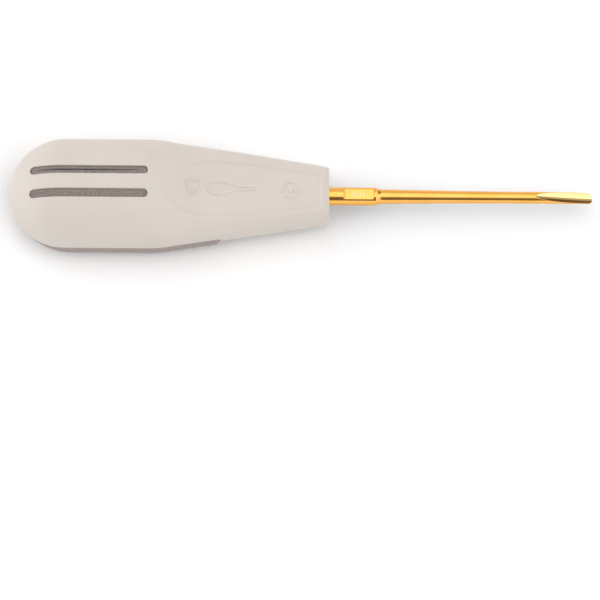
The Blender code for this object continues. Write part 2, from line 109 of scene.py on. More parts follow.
def carve(piece, tools, operation="DIFFERENCE"):  # bakes the Booleans in and drops the tools
    for tool in tools:
        cut = piece.modifiers.new(operation.lower(), "BOOLEAN")
        cut.object = tool
        cut.operation = operation
        cut.solver = "MANIFOLD"
    depsgraph = bpy.context.evaluated_depsgraph_get()
    mesh = bpy.data.meshes.new_from_object(piece.evaluated_get(depsgraph))
    mesh.name = piece.name
    piece.modifiers.clear()
    piece.data = mesh
    for tool in tools:
        bpy.data.objects.remove(tool)


def smooth(piece, sharpDegrees=38):
    piece.data.shade_smooth()
    piece.data.set_sharp_from_angle(angle=math.radians(sharpDegrees))


def boxTool(name, low, high):
    corners = [(x, y, z) for x in (low[0], high[0]) for y in (low[1], high[1]) for z in (low[2], high[2])]
    faces = [(0, 1, 3, 2), (4, 6, 7, 5), (0, 4, 5, 1), (2, 3, 7, 6), (0, 2, 6, 4), (1, 5, 7, 3)]
    return makePiece(name, corners, faces)


def postTool(name, station, offset, radius, low, high):  # an upright round post
    sides = 40
    turns = [2 * math.pi * i / sides for i in range(sides)]
    ring = [(station + radius * math.cos(turn), offset + radius * math.sin(turn)) for turn in turns]
    return loftRings(name, [[(x, y, z) for x, y in ring] for z in (low, high)])


def ride(piece, slot, *nodes):
    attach(piece, "root")
    if nodes:
        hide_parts(*nodes)


class Sock:  # a socket that can be used in sums
    def __init__(self, shader, socket):
        self.shader, self.socket = shader, socket

    def math(self, operation, *values):
        return self.shader.node("ShaderNodeMath", {"operation": operation}, dict(enumerate(values)))

    def __add__(self, other):
        return self.math("ADD", self, other)

    def __radd__(self, other):
        return self.math("ADD", self, other)

    def __sub__(self, other):
        return self.math("SUBTRACT", self, other)

    def __rsub__(self, other):
        return self.math("SUBTRACT", other, self)

    def __mul__(self, other):
        return self.math("MULTIPLY", self, other)

    def __rmul__(self, other):
        return self.math("MULTIPLY", self, other)

    def __abs__(self):
        return self.math("ABSOLUTE", self)

    def step(self, start, end):  # 0 to 1, smoothly, as the value goes from start to end
        sockets = {"Value": self, "From Min": start, "From Max": end}
        return self.shader.node("ShaderNodeMapRange", {"interpolation_type": "SMOOTHSTEP"}, sockets)


class Nodes:  # a node tree built from expressions
    def __init__(self, tree):
        self.tree = tree

    def node(self, kind, settings=None, sockets=None, out=0):
        made = self.tree.nodes.new(kind)
        for label, value in (settings or {}).items():
            setattr(made, label, value)
        for label, value in (sockets or {}).items():
            target = made.inputs[label]
            if isinstance(value, Sock):
                self.tree.links.new(value.socket, target)
            else:
                target.default_value = value
        return Sock(self, made.outputs[out])

    def axes(self, vector):
        split = self.node("ShaderNodeSeparateXYZ", {}, {0: vector})
        return [Sock(self, output) for output in split.socket.node.outputs]

    def scaled(self, vector, scale):
        return self.node("ShaderNodeVectorMath", {"operation": "MULTIPLY"}, {0: vector, 1: scale})

    def noise(self, vector, size, detail=2.0, roughness=0.5):  # size of one lump in millimetres
        sockets = {"Vector": vector, "Scale": 1 / (size * mm), "Detail": detail, "Roughness": roughness}
        return self.node("ShaderNodeTexNoise", {}, sockets)

    def mix(self, share, first, second):
        first, second = ((*c, 1) if isinstance(c, tuple) else c for c in (first, second))
        return self.node("ShaderNodeMix", {"data_type": "RGBA"}, {0: share, 6: first, 7: second}, 2)

    def bump(self, height, distance, strength=1.0, normal=None):  # distance in millimetres
        sockets = {"Height": height, "Distance": distance * mm, "Strength": strength}
        if normal:
            sockets["Normal"] = normal
        return self.node("ShaderNodeBump", {}, sockets)


class Finish(Nodes):  # one material
    def __init__(self, name, **constants):
        self.material = bpy.data.materials.new(name)
        self.material.use_nodes = True
        super().__init__(self.material.node_tree)
        self.principled = self.tree.nodes["Principled BSDF"]
        for label, value in constants.items():
            self.principled.inputs[self.words(label)].default_value = value

    def words(self, label):  # baseColor -> Base Color
        spaced = "".join(" " + c if c.isupper() else c for c in label)
        return spaced.title().replace("Ior", "IOR")

    def place(self):  # where the point is on the piece, in metres
        return self.node("ShaderNodeTexCoord", out="Object")

    def feed(self, **inputs):
        for label, value in inputs.items():
            self.tree.links.new(value.socket, self.principled.inputs[self.words(label)])
        return self.material


shellLook = {
    "colour": (0.60, 0.545, 0.495),
    "lightPatch": (0.63, 0.58, 0.53),
    # light colour for random specks, and for the convex edges, where it is partly edge wear and partly a
    # painted highlight
    "speckWearAndEdgeHighlight": (0.70, 0.66, 0.61),
    "roughness": 0.46,
    "grain": 0.18,  # size of the moulding's fine texture, mm
    "grainDepth": 0.006,
}


def makeShellFinish():
    look = shellLook
    finish = Finish("shellPlastic", roughness=look["roughness"], specularIorLevel=0.4)
    place = finish.place()
    cloud = finish.noise(place, 14, 3).step(0.35, 0.68)
    speck = finish.noise(place, 0.9, 4, 0.65)
    colour = finish.mix(cloud * 0.55, look["colour"], look["lightPatch"])
    colour = finish.mix(speck.step(0.62, 0.80) * 0.25, colour, look["speckWearAndEdgeHighlight"])
    # convex edges, found by Pointiness, are lightened: partly edge wear, partly a painted highlight along
    # the rims
    pointed = finish.node("ShaderNodeNewGeometry", out="Pointiness")
    edge = pointed.step(0.53, 0.60) * finish.noise(place, 2.5, 3).step(0.30, 0.62)
    colour = finish.mix(edge * 0.5, colour, look["speckWearAndEdgeHighlight"])
    grain = finish.noise(place, look["grain"], 3, 0.6)
    rubbed = finish.noise(place, 5.0, 3).step(0.38, 0.70)
    rough = look["roughness"] - 0.05 + grain * 0.10 - rubbed * 0.05
    normal = finish.bump(grain, look["grainDepth"], 0.7)
    return finish.feed(baseColor=colour, roughness=rough, normal=normal)


gripLook = {
    "colour": (0.275, 0.235, 0.215),
    "darkGrain": (0.155, 0.130, 0.120),
    "lightGrain": (0.40, 0.355, 0.325),
    "grain": 0.42,
    "grainDepth": 0.09,
}


def makeGripFinish(name, lightness):
    look = gripLook
    finish = Finish(name, roughness=0.8, specularIorLevel=0.3)
    keys = ("colour", "darkGrain", "lightGrain")
    plain, dark, light = (tuple(lightness * c for c in look[key]) for key in keys)
    place = finish.place()
    sockets = {"Vector": place, "Scale": 1 / (look["grain"] * mm), "Randomness": 1.0}
    cell = finish.node("ShaderNodeTexVoronoi", {"feature": "F1"}, sockets)
    fine = finish.noise(place, 0.22, 3, 0.6)
    pit = cell.step(0.15, 0.75)
    colour = finish.mix(pit * 0.7, plain, dark)
    colour = finish.mix(fine.step(0.54, 0.72) * 0.75, colour, light)
    height = fine * 0.7 - pit * 0.6
    rough = 0.72 + fine * 0.16
    normal = finish.bump(height, look["grainDepth"], 0.8)
    return finish.feed(baseColor=colour, roughness=rough, normal=normal)


steelLook = {
    "coat": (0.93, 0.495, 0.12),
    "coatDeep": (0.88, 0.44, 0.09),
    "edgeTint": (1.0, 0.72, 0.42),
    "mark": (0.86, 0.66, 0.42),
    "ground": (0.95, 0.74, 0.31),  # the flute, a paler gold than the bar
    "groundFrom": 137.3,
    "groundBlend": 0.1,
    "groundRadius": 1.45,  # the flute lies within this distance of the axis
    "groundMargin": 0.12,  # of that distance squared
    "roughness": 0.12,
    "tickStation": 89.6,  # first of the size ticks on the collar's flat
    "tickStep": 0.95,
    "tickCount": 4,
    "tickHalfWidth": 0.15,
    "tickHalfHeight": 0.7,
    "tickSoft": 0.04,  # softness of the ticks' edges
    "tickHeight": (1.79, 1.82),  # the ticks are on the flat, above this height
}


def makeSteelFinish():
    look = steelLook
    tint = (*look["edgeTint"], 1)
    finish = Finish("goldCoatedSteel", metallic=1.0, roughness=look["roughness"], specularTint=tint)
    place = finish.place()
    along, across, up = finish.axes(place)
    station = (along - float(toolOrigin[0])) * (1 / mm)
    offset = across * (1 / mm)
    height = (up - float(toolOrigin[2])) * (1 / mm)
    turned = finish.noise(finish.scaled(place, (14, 1, 1)), 1.6, 4, 0.65)  # fine rings round the bar
    drawn = finish.noise(finish.scaled(place, (0.35, 6, 6)), 1.5, 3, 0.6)  # polishing lines along it
    patch = finish.noise(place, 7, 2)
    colour = finish.mix(patch.step(0.35, 0.70) * 0.6, look["coat"], look["coatDeep"])
    edge = look["groundRadius"] ** 2
    within = 1 - (offset * offset + height * height).step(edge, edge + look["groundMargin"])
    ground = within * station.step(look["groundFrom"], look["groundFrom"] + look["groundBlend"])
    colour = finish.mix(ground, colour, look["ground"])
    ticks = 0
    soft, half, reach = look["tickSoft"], look["tickHalfWidth"], look["tickHalfHeight"]
    for i in range(look["tickCount"]):
        centre = look["tickStation"] + i * look["tickStep"]
        ticks = 1 - abs(station - centre).step(half - soft, half + soft) + ticks
    inside = 1 - abs(offset).step(reach - soft, reach + soft)
    mark = ticks * inside * height.step(*look["tickHeight"])
    colour = finish.mix(mark, colour, look["mark"])
    rough = look["roughness"] - 0.03 + turned * 0.07 + drawn * 0.05 + mark * 0.35
    fine = finish.bump(turned, 0.004, 0.5)
    normal = finish.bump(drawn, 0.004, 0.5, fine)
    return finish.feed(baseColor=colour, roughness=rough, normal=normal)


def makeHiddenFinish(name, colour, roughness, metallic=0.0, grain=0.6):
    finish = Finish(name, metallic=metallic, roughness=roughness)
    place = finish.place()
    lumps = finish.noise(place, grain, 3)
    shade = finish.mix(lumps, colour, tuple(0.8 * c for c in colour))
    rough = roughness - 0.06 + lumps * 0.12
    return finish.feed(baseColor=shade, roughness=rough, normal=finish.bump(lumps, 0.02, 0.5))


shellPlastic = makeShellFinish()
ribRubber = makeGripFinish("ribRubber", 1.0)
# the pad is the ribs' rubber made lighter: painted light, standing in for the floor's bounce light on the
# pad's side
padRubberPaintedLight = makeGripFinish("padRubberPaintedLight", 1.5)
goldSteel = makeSteelFinish()
corePlastic = makeHiddenFinish("corePlastic", (0.10, 0.10, 0.11), 0.55)
plainSteel = makeHiddenFinish("plainSteel", (0.60, 0.61, 0.63), 0.28, 1.0, 0.3)
sealRubber = makeHiddenFinish("sealRubber", (0.03, 0.03, 0.03), 0.7)
print("finishes made")

# The form of the handle.

handle = {
    "length": (shellHigh[0] - shellLow[0]) / mm,
    "rearRadius": (shellHigh[1] - shellLow[1]) / 2 / mm,
    "taperStart": 39.0,
    "taperBlend": 2.5,
    "noseHalfWidth": 7.45,
    "crown": 11.3,
    "crownStep": 4.9,
    "thumbSlope": (34.5, 48.0),
    "noseFall": 1.4,
    "noseFallStart": 50.0,
    "noseBand": (1.35, 0.6),  # rounding of the front edge: its length, and how far it draws in
    "noseCrease": 14.0,  # degrees by which the rounding starts with a visible edge
    "chinDepth": 5.85,
    "noseDepth": 5.0,
    "rearSquareness": 2.05,
    "noseSquareness": 3.0,
    "squareFrom": 65.0,
    "wall": 1.8,
    "chinWall": 1.5,
    "panelWall": 1.2,
    "cavityFront": 72.0,
    "fitGap": 0.3,
    "rimRound": 0.3,  # rounding of the shell's lower edge
    "ringPoints": 220,
    "ringRuns": (  # where the rings of the outer form lie: from, to and step
        (15.6, 34.0, 0.9),
        (34.0, 37.0, 0.6),
        (37.0, 57.0, 0.4),
        (57.0, 80.4, 0.6),
        (80.4, 81.6, 0.2),
        (81.6, 82.6, 0.07),
    ),
}

panel = {
    "rear": 39.8,
    "front": 82.0,
    "widest": 54.0,
    "halfWidth": 8.0,
    "frontHalfWidth": 4.6,
    "sidePower": 1.3,
    "step": 0.32,  # the flat floor lies this far below the dome along the outline
    "wallRun": 1.1,  # how far the soft wall of the pocket reaches inwards
    "lip": 0.18,  # height of the soft lip round it
    "lipReach": (0.7, 1.8),
    "crease": {"station": 82.1, "halfLength": 4.3, "halfWidth": 0.26, "depth": 0.14},  # at its front end
}

padFront = (padHigh[0] - shellLow[0]) / mm


def rearShare(station, inset=0.0):
    radius = handle["rearRadius"]
    back = np.clip((radius - np.asarray(station, float)) / (radius - inset), 0, 1)
    return np.sqrt(1 - back * back)


def halfWidth(station, inset=0.0):
    slope = (handle["rearRadius"] - handle["noseHalfWidth"]) / (handle["length"] - handle["taperStart"])
    width = handle["rearRadius"] - slope * ramp(station, handle["taperStart"], handle["taperBlend"])
    return (width - inset) * rearShare(station, inset)


def crownHeight(station, inset=0.0):
    height = handle["crown"] - handle["crownStep"] * ease(station, *handle["thumbSlope"])
    fallLength = handle["length"] - handle["noseFallStart"]
    height = height - handle["noseFall"] * ramp(station, handle["noseFallStart"], 6.0) / fallLength
    return (height - inset) * rearShare(station, inset)


def chinDepth(station, inset=0.0):
    slope = (handle["chinDepth"] - handle["noseDepth"]) / (handle["length"] - padFront)
    return (handle["chinDepth"] - slope * (station - padFront) - inset) * rearShare(station, inset)


def squareness(station):
    share = ease(station, handle["thumbSlope"][0], handle["squareFrom"])
    return handle["rearSquareness"] + (handle["noseSquareness"] - handle["rearSquareness"]) * share


def domeHeight(station, offset):  # height of the plain upper form over a point
    half, power = halfWidth(station), squareness(station)
    inside = np.clip(1 - np.abs(offset / np.maximum(half, 1e-6)) ** power, 0, 1)
    return crownHeight(station) * inside ** (1 / power)


def panelHalfWidth(station):
    reach = panel["widest"] - panel["rear"]
    back = np.clip((panel["widest"] - station) / reach, 0, 1)
    rear = panel["halfWidth"] * np.sqrt(1 - back * back)
    share = np.clip((station - panel["widest"]) / (panel["front"] - panel["widest"]), 0, 1)
    share = share ** panel["sidePower"]
    front = panel["halfWidth"] - (panel["halfWidth"] - panel["frontHalfWidth"]) * share
    return np.where(station < panel["widest"], rear, front)


def panelFloor(station):  # flat across
    within = np.clip(station, panel["rear"], panel["front"])
    return domeHeight(within, panelHalfWidth(within)) - panel["step"]


def cavityHeight(station):  # top of the hollow: one wall under the dome, a thinner one under the panel
    height = float(crownHeight(station, handle["wall"]))
    if station > panel["rear"] - 3:
        height = min(height, float(panelFloor(station)) - handle["panelWall"])
    return height


def powerRing(station, half, up, down, power, angles):
    across, rise = np.cos(angles), np.sin(angles)
    offset = half * np.sign(across) * np.abs(across) ** (2 / power)
    height = np.where(rise > 0, up, down) * np.sign(rise) * np.abs(rise) ** (2 / power)
    return np.stack([np.full_like(offset, station), offset, height], axis=1)


def troughRing(station, half, up, down, corner, count):  # domed above, a flat-bottomed trough below
    corner = min(corner, down * 0.98, half * 0.6)
    arc = (count // 2 - 1) // 2
    ring = []
    for i in range(count // 2 + 1):
        angle = math.pi * i / (count // 2)
        ring.append((station, half * math.cos(angle), up * math.sin(angle)))
    for centre, start in ((-half + corner, 180), (half - corner, 270)):
        for i in range(arc):
            angle = math.radians(start + 90 * i / (arc - 1))
            height = -down + corner + corner * math.sin(angle)
            ring.append((station, centre + corner * math.cos(angle), height))
    return ring


def rearStations(inset, steps):  # closer together where the rear end curves most
    radius = handle["rearRadius"]
    turns = [math.radians(90 * i / steps) for i in range(1, steps + 1)]
    return [radius - (radius - inset) * math.cos(turn) for turn in turns]


def panelOutline(corner=0.9):
    reach = panel["widest"] - panel["rear"]
    turns = np.radians(np.linspace(0, 90, 40))
    stations = panel["widest"] - reach * np.cos(turns)
    stations = np.concatenate([stations, np.linspace(panel["widest"], panel["front"] - corner, 30)[1:]])
    near = [(s, float(panelHalfWidth(s))) for s in stations]
    edge = near[-1][1] - corner
    for turn in np.radians(np.linspace(80, 0, 9)):
        near.append((panel["front"] - corner + corner * math.cos(turn), edge + corner * math.sin(turn)))
    near.append((panel["front"], 0.0))
    return np.array(near)


def distanceToOutline(station, offset, outline):  # below zero inside; the outline is one side's
    points = np.stack([station, np.abs(offset)], axis=1)
    starts, ends = outline[:-1], outline[1:]
    runs = ends - starts
    lengths = (runs**2).sum(axis=1)
    share = ((points[:, None, :] - starts) * runs).sum(axis=2) / lengths
    nearest = starts + np.clip(share, 0, 1)[..., None] * runs
    distance = np.sqrt(((points[:, None, :] - nearest) ** 2).sum(axis=2)).min(axis=1)
    along = (station > panel["rear"]) & (station < panel["front"])
    return np.where(along & (np.abs(offset) < panelHalfWidth(station)), -distance, distance)


def shapePanel(points, outline):  # sinks the pocket and raises the soft lip round it
    reach = (points[:, 0] > panel["rear"] - 4) & (points[:, 2] > 0)
    station, offset, height = points[reach].T
    distance = distanceToOutline(station, offset, outline)
    lip = panel["lip"] * ease(distance, -0.5, 0.3) * (1 - ease(distance, *panel["lipReach"]))
    lip = lip * (1 - ease(station, panel["front"] - 0.6, panel["front"] + 0.1))
    raised = height + lip
    floor = np.minimum(panelFloor(station), raised)
    sunk = 1 - ease(distance, -panel["wallRun"], 0.05)
    crease = panel["crease"]
    across = 1 - ease(np.abs(station - crease["station"]), 0.04, crease["halfWidth"])
    across = across * (1 - ease(np.abs(offset), crease["halfLength"] - 0.3, crease["halfLength"]))
    points[reach, 2] = raised + (floor - raised) * sunk - crease["depth"] * across


def roundLowerRim(points):  # the shell's lower edge turns in where it meets the pad
    r = handle["rimRound"]
    height = np.clip(points[:, 2], 0, r)
    turnIn = r - np.sqrt(r * r - (r - height) ** 2)
    turnIn = turnIn * (1 - ease(points[:, 0], padFront - 1.5, padFront + 0.2))
    centre = np.maximum(handle["rearRadius"] - points[:, 0], 0)
    reach = np.maximum(np.sqrt(centre**2 + points[:, 1] ** 2), 1e-6)
    points[:, 0] += turnIn * centre / reach
    points[:, 1] -= turnIn * points[:, 1] / reach


def shellAngles():
    even = np.linspace(0, 2 * math.pi, handle["ringPoints"], endpoint=False)
    rim = np.array([0.0012, 0.004, 0.009, 0.016])
    return np.sort(np.concatenate([even, rim, math.pi - rim]))


def outerShellRing(s, angles, inset=0.0):
    half, up, down = halfWidth(s, inset), crownHeight(s, inset), chinDepth(s, inset)
    return powerRing(s, half, up, down, squareness(s), angles)


def outerShellRings(angles):
    stations = rearStations(0, 26)
    for run in handle["ringRuns"]:
        stations += list(np.arange(*run))
    band, inset = handle["noseBand"]
    stations += list(np.arange(handle["ringRuns"][-1][1], handle["length"] - band, 0.2))
    rings = [outerShellRing(s, angles) for s in stations]
    crease = math.sin(math.radians(handle["noseCrease"]))
    for turn in np.radians(np.linspace(handle["noseCrease"], 90, 12)):
        s = handle["length"] - band * (1 - math.sin(turn)) / (1 - crease)
        rings.append(outerShellRing(s, angles, inset * (1 - math.cos(turn))))
    return rings


bore = {"radius": 2.6, "chamfer": 0.3, "rear": 76.4, "seatRadius": 3.4}


def boreRings(angles, lastOuter):  # across the nose, into the bore and back to the cavity
    def circle(station, radius):
        offset, height = radius * np.cos(angles), radius * np.sin(angles)
        return np.stack([np.full_like(angles, station), offset, height], axis=1)

    nose = handle["length"]
    mouth = circle(nose, bore["radius"] + bore["chamfer"])
    rings = [lastOuter + (mouth - lastOuter) * share for share in (0.25, 0.5, 0.75, 1.0)]
    for station in (nose - bore["chamfer"], nose - 3, bore["rear"]):
        rings.append(circle(station, bore["radius"]))
    for station in (bore["rear"], handle["cavityFront"]):
        rings.append(circle(station, bore["seatRadius"]))
    return rings


def cavityRings(angles):
    stations = list(np.arange(handle["cavityFront"], 38.0, -2.0)) + [36.0, 34.0, 28.0, 22.0]
    stations += rearStations(handle["wall"], 10)[::-1]
    rings = []
    for s in stations:
        half, down = halfWidth(s, handle["wall"]), chinDepth(s, handle["chinWall"])
        rings.append(powerRing(s, half, cavityHeight(s), down, squareness(s), angles))
    return rings


slots = {
    "rear": 6.0,
    "front": 36.5,
    "offset": 3.15,
    "shift": 0.13,  # of both slots towards the far side
    "halfWidth": 1.08,
    "mouthRound": 0.32,
    "depth": 6.5,
}


def stadium(rear, front, offset, half, endSteps=16, sideStep=0.6):
    # points and outward directions of a slot's outline, with round ends
    points, outward = [], []
    straight = np.arange(rear + half, front - half, sideStep)[1:]
    for centre, start, side in ((front - half, -90, straight[::-1]), (rear + half, 90, straight)):
        for i in range(endSteps + 1):
            angle = math.radians(start + 180 * i / endSteps)
            points.append((centre + half * math.cos(angle), offset + half * math.sin(angle)))
            outward.append((math.cos(angle), math.sin(angle)))
        across = 1 if start < 0 else -1
        for s in side:
            points.append((s, offset + across * half))
            outward.append((0, across))
    return np.array(points), np.array(outward)


def slotMiddle(side):
    return side * slots["offset"] + slots["shift"]


def slotTool(name, side):  # cuts a slot whose mouth is rounded along the dome
    points, outward = stadium(slots["rear"], slots["front"], slotMiddle(side), slots["halfWidth"])
    r = slots["mouthRound"]
    rings = [np.column_stack([points, np.full(len(points), slots["depth"] - 3.0)])]
    profile = [(r * (1 - math.cos(t)), r * (1 - math.sin(t))) for t in np.radians(np.linspace(0, 72, 7))]
    (previousReach, previousDepth), (lastReach, lastDepth) = profile[-2:]
    for beyond in (2.0, 6.0):
        reach = lastReach + beyond * (lastReach - previousReach)
        profile.append((reach, lastDepth + beyond * (lastDepth - previousDepth) - 0.05 * beyond))
    for reach, depth in profile:
        edge = points + outward * reach
        rings.append(np.column_stack([edge, domeHeight(edge[:, 0], edge[:, 1]) - depth]))
    rings.append(rings[-1] + (0, 0, 1.0))
    return loftRings(name, rings)


# Raised symbols on the panel: a tooth, a small tool and a ring with a dot.
symbols = {
    "height": 0.22,
    "stroke": 0.6,
    "toothPlace": (48.2, 0.35),
    "tooth": (
        (-1.7, 1.4), (-1.0, 2.1), (0.0, 1.8), (1.0, 2.1), (1.7, 1.4), (1.6, 0.2),
        (1.25, -1.0), (1.0, -2.1), (0.5, -2.0), (0.3, -0.9), (0.0, -0.5), (-0.3, -0.9),
        (-0.5, -2.0), (-1.0, -2.1), (-1.25, -1.0), (-1.6, 0.2),
    ),
    "toolPlace": (58.2, 0.3),
    "tool": (
        (-6.4, 0.0), (-6.0, 1.0), (-4.9, 1.6), (-3.0, 1.75), (-0.8, 1.2), (0.4, 0.75),
        (1.2, 0.5), (3.6, 0.42), (6.2, 0.38), (6.6, 0.0), (6.2, -0.38), (3.6, -0.42),
        (1.2, -0.5), (0.4, -0.75), (-0.8, -1.2), (-3.0, -1.75), (-4.9, -1.6), (-6.0, -1.0),
    ),
    "ringPlace": (73.4, 0.1),
    "ringRadius": 2.1,
    "dotRadius": 0.75,
}


def roundedLoop(corners, centre, steps=5):  # a smooth closed line through the corners
    corners = np.array(corners) + centre
    path = []
    for i in range(len(corners)):
        before, start, end, after = (corners[(i + k) % len(corners)] for k in (-1, 0, 1, 2))
        for share in np.arange(steps) / steps:
            bend = 2 * before - 5 * start + 4 * end - after
            twist = 3 * (start - end) + after - before
            path.append(0.5 * (2 * start + (end - before) * share + bend * share**2 + twist * share**3))
    return np.array(path)


def strokeTool(name, path):  # a low bead with soft shoulders along a closed line on the panel's floor
    along = np.roll(path, -1, axis=0) - np.roll(path, 1, axis=0)
    along /= np.linalg.norm(along, axis=1)[:, None]
    outward = np.column_stack([along[:, 1], -along[:, 0]])
    half, high = symbols["stroke"] / 2, symbols["height"]
    profile = [(-half, -0.3), (-half, 0.0), (-0.8 * half, 0.6 * high), (-0.4 * half, high)]
    profile += [(-reach, height) for reach, height in reversed(profile)]
    points, faces = [], []
    for spot, out in zip(path, outward):
        for reach, height in profile:
            s, y = spot + out * reach
            points.append((s, y, float(panelFloor(s)) + height))
    for i in range(len(path)):
        near, far = i * len(profile), (i + 1) % len(path) * len(profile)
        for k in range(len(profile)):
            m = (k + 1) % len(profile)
            faces.append((near + k, near + m, far + m, far + k))
    return makePiece(name, points, faces)


def dotTool(name, station, offset, radius):
    turns = np.linspace(0, 2 * math.pi, 40, endpoint=False)
    high = symbols["height"]
    rings = []
    profile = ((radius, -0.3), (radius, 0.0), (radius - 0.06, 0.6 * high), (radius - 0.15, high))
    for reach, height in profile:
        s, y = station + reach * np.cos(turns), offset + reach * np.sin(turns)
        rings.append(np.column_stack([s, y, panelFloor(s) + height]))
    return loftRings(name, rings)


def symbolTools():
    turns = np.linspace(0, 2 * math.pi, 72, endpoint=False)
    place = np.array(symbols["ringPlace"])
    ring = place + symbols["ringRadius"] * np.column_stack([np.cos(turns), np.sin(turns)])
    return [
        strokeTool("tooth", roundedLoop(symbols["tooth"], symbols["toothPlace"])),
        strokeTool("tool", roundedLoop(symbols["tool"], symbols["toolPlace"])),
        strokeTool("ring", ring),
        dotTool("dot", *place, symbols["dotRadius"]),
    ]


pegs = {"radius": 1.5, "station": 21.0, "offset": 9.0, "low": 1.0, "topShare": 0.7}


def makeShell():
    angles = shellAngles()
    outer = outerShellRings(angles)
    shape = np.concatenate(outer)
    shapePanel(shape, panelOutline())
    roundLowerRim(shape)
    outer = list(shape.reshape(len(outer), len(angles), 3))
    rings = outer + boreRings(angles, outer[-1]) + cavityRings(angles)
    shell = loftRings("handleShell", rings, shellPlastic, (0, 0, 0), (handle["wall"], 0, 0))
    high = float(crownHeight(pegs["station"])) * pegs["topShare"]
    posts = [
        postTool(f"peg{i}", pegs["station"], side * pegs["offset"], pegs["radius"], pegs["low"], high)
        for i, side in enumerate((1, -1))
    ]
    carve(shell, posts + symbolTools(), "UNION")
    wide = 2 * handle["rearRadius"]
    opening = boxTool("opening", (-5, -wide, -wide), (padFront + handle["fitGap"], wide, 0))
    carve(shell, [slotTool("slotLeft", 1), slotTool("slotRight", -1), opening])
    smooth(shell, 32)
    print("handle shell:", len(shell.data.polygons), "faces")
    ride(shell, "shell_plastic", "handle_shell")


makeShell()


pad = {
    "inset": 0.15,
    "corner": 3.6,
    "cornerBlend": (4.0, 17.0),
    "frontRound": 1.1,
    "thickness": 2.2,
    "coreCorner": 2.4,
    "coreStep": 48.0,
    "studRadius": 2.0,
    "studTop": -2.6,
    "studs": ((12.0, 0.0), (30.0, 0.0), (46.0, 6.5), (46.0, -6.5)),
    "ringPoints": 182,
}


def padRing(station, inset):
    share = float(rearShare(station, pad["inset"]))
    down = (axisHeight - inset) * share
    corner = pad["corner"] + (down - pad["corner"]) * (1 - float(ease(station, *pad["cornerBlend"])))
    half = float(halfWidth(station, pad["inset"] + inset))
    return troughRing(station, half, handle["crown"] * share, down, corner, pad["ringPoints"])


def padRings():
    stations = rearStations(pad["inset"], 26) + list(np.arange(15.8, padFront - pad["frontRound"], 0.9))
    rings = [padRing(s, 0) for s in stations]
    r = pad["frontRound"]
    for turn in np.radians(np.linspace(0, 90, 10)):
        rings.append(padRing(padFront - r * (1 - math.sin(turn)), r * (1 - math.cos(turn))))
    return rings


def coreSpaceRings():  # the core's own form with the fit gap round it
    inset = handle["wall"]
    bottom = axisHeight - pad["thickness"]
    angles = np.linspace(0, 2 * math.pi, 30, endpoint=False)
    rings = []
    for s in rearStations(inset, 6) + [24.0, 34.0] + list(np.linspace(38.0, pad["coreStep"], 4)):
        half, down = float(halfWidth(s, inset)), bottom * float(rearShare(s, inset))
        rings.append(troughRing(s, half, cavityHeight(s), down, pad["coreCorner"], 30))
    for s in np.linspace(pad["coreStep"] + 4, handle["cavityFront"], 6):
        half, down = halfWidth(s, inset), chinDepth(s, handle["chinWall"])
        rings.append(powerRing(s, half, cavityHeight(s), down, squareness(s), angles).tolist())
    return rings


def makePad():
    piece = loftRings("palmPad", padRings(), padRubberPaintedLight, (pad["inset"], 0, 0))
    wide = 2 * handle["rearRadius"]
    above = boxTool("above", (-5, -wide, -handle["fitGap"]), (handle["length"], wide, wide))
    space = loftRings("coreSpace", coreSpaceRings(), None, (handle["wall"], 0, 0))
    carve(piece, [above, space])
    low = -axisHeight + pad["thickness"] / 2
    studs = []
    for i, (s, y) in enumerate(pad["studs"]):
        studs.append(postTool(f"stud{i}", s, y, pad["studRadius"], low, pad["studTop"]))
    carve(piece, studs, "UNION")
    smooth(piece, 35)
    print("palm pad:", len(piece.data.polygons), "faces")
    ride(piece, "grip_rubber", "palm_pad")


ribs = {
    "gap": 0.06,
    "recess": 0.5,
    "edgeRound": 0.12,
    "footMargin": 0.8,
    "footBottom": 6.2,
}


def ribStrip(name, side):  # a strip with a softly rounded top that follows the dome
    half = slots["halfWidth"] - ribs["gap"]
    rear, front = slots["rear"] + ribs["gap"], slots["front"] - ribs["gap"]
    points, outward = stadium(rear, front, slotMiddle(side), half, 16, 0.5)
    r = ribs["edgeRound"]
    rings = [np.column_stack([points, np.full(len(points), ribs["footBottom"])])]
    profile = [(r * (1 - math.cos(t)), r * (1 - math.sin(t))) for t in np.radians(np.linspace(0, 90, 6))]
    profile += [(reach, 0.0) for reach in np.linspace(r, half, 5)[1:-1]]
    for reach, depth in profile:
        edge = points - outward * reach
        top = domeHeight(edge[:, 0], edge[:, 1]) - ribs["recess"] - depth
        rings.append(np.column_stack([edge, top]))
    return loftRings(name, rings, ribRubber)


def ribFoot(name, side):  # the wider foot under the shell
    margin = ribs["footMargin"]
    rear, front = slots["rear"] - margin, slots["front"] + margin
    points, _ = stadium(rear, front, side * slots["offset"], slots["halfWidth"] + margin, 16, 1.0)
    gap = handle["wall"] + handle["fitGap"] + 0.1
    tops = [max(ribs["footBottom"] + 0.4, float(domeHeight(max(s - 0.6, 0), y)) - gap) for s, y in points]
    low = np.column_stack([points, np.full(len(points), ribs["footBottom"])])
    return loftRings(name, [low, np.column_stack([points, tops])], ribRubber)


def makeRib(name, node, side):
    rib = ribStrip(name, side)
    carve(rib, [ribFoot(name + "Foot", side)], "UNION")
    smooth(rib, 40)
    ride(rib, "grip_rubber", node)


makePad()
makeRib("ribLeft", "rib_strip_left", 1)
makeRib("ribRight", "rib_strip_right", -1)
print("soft pieces made")

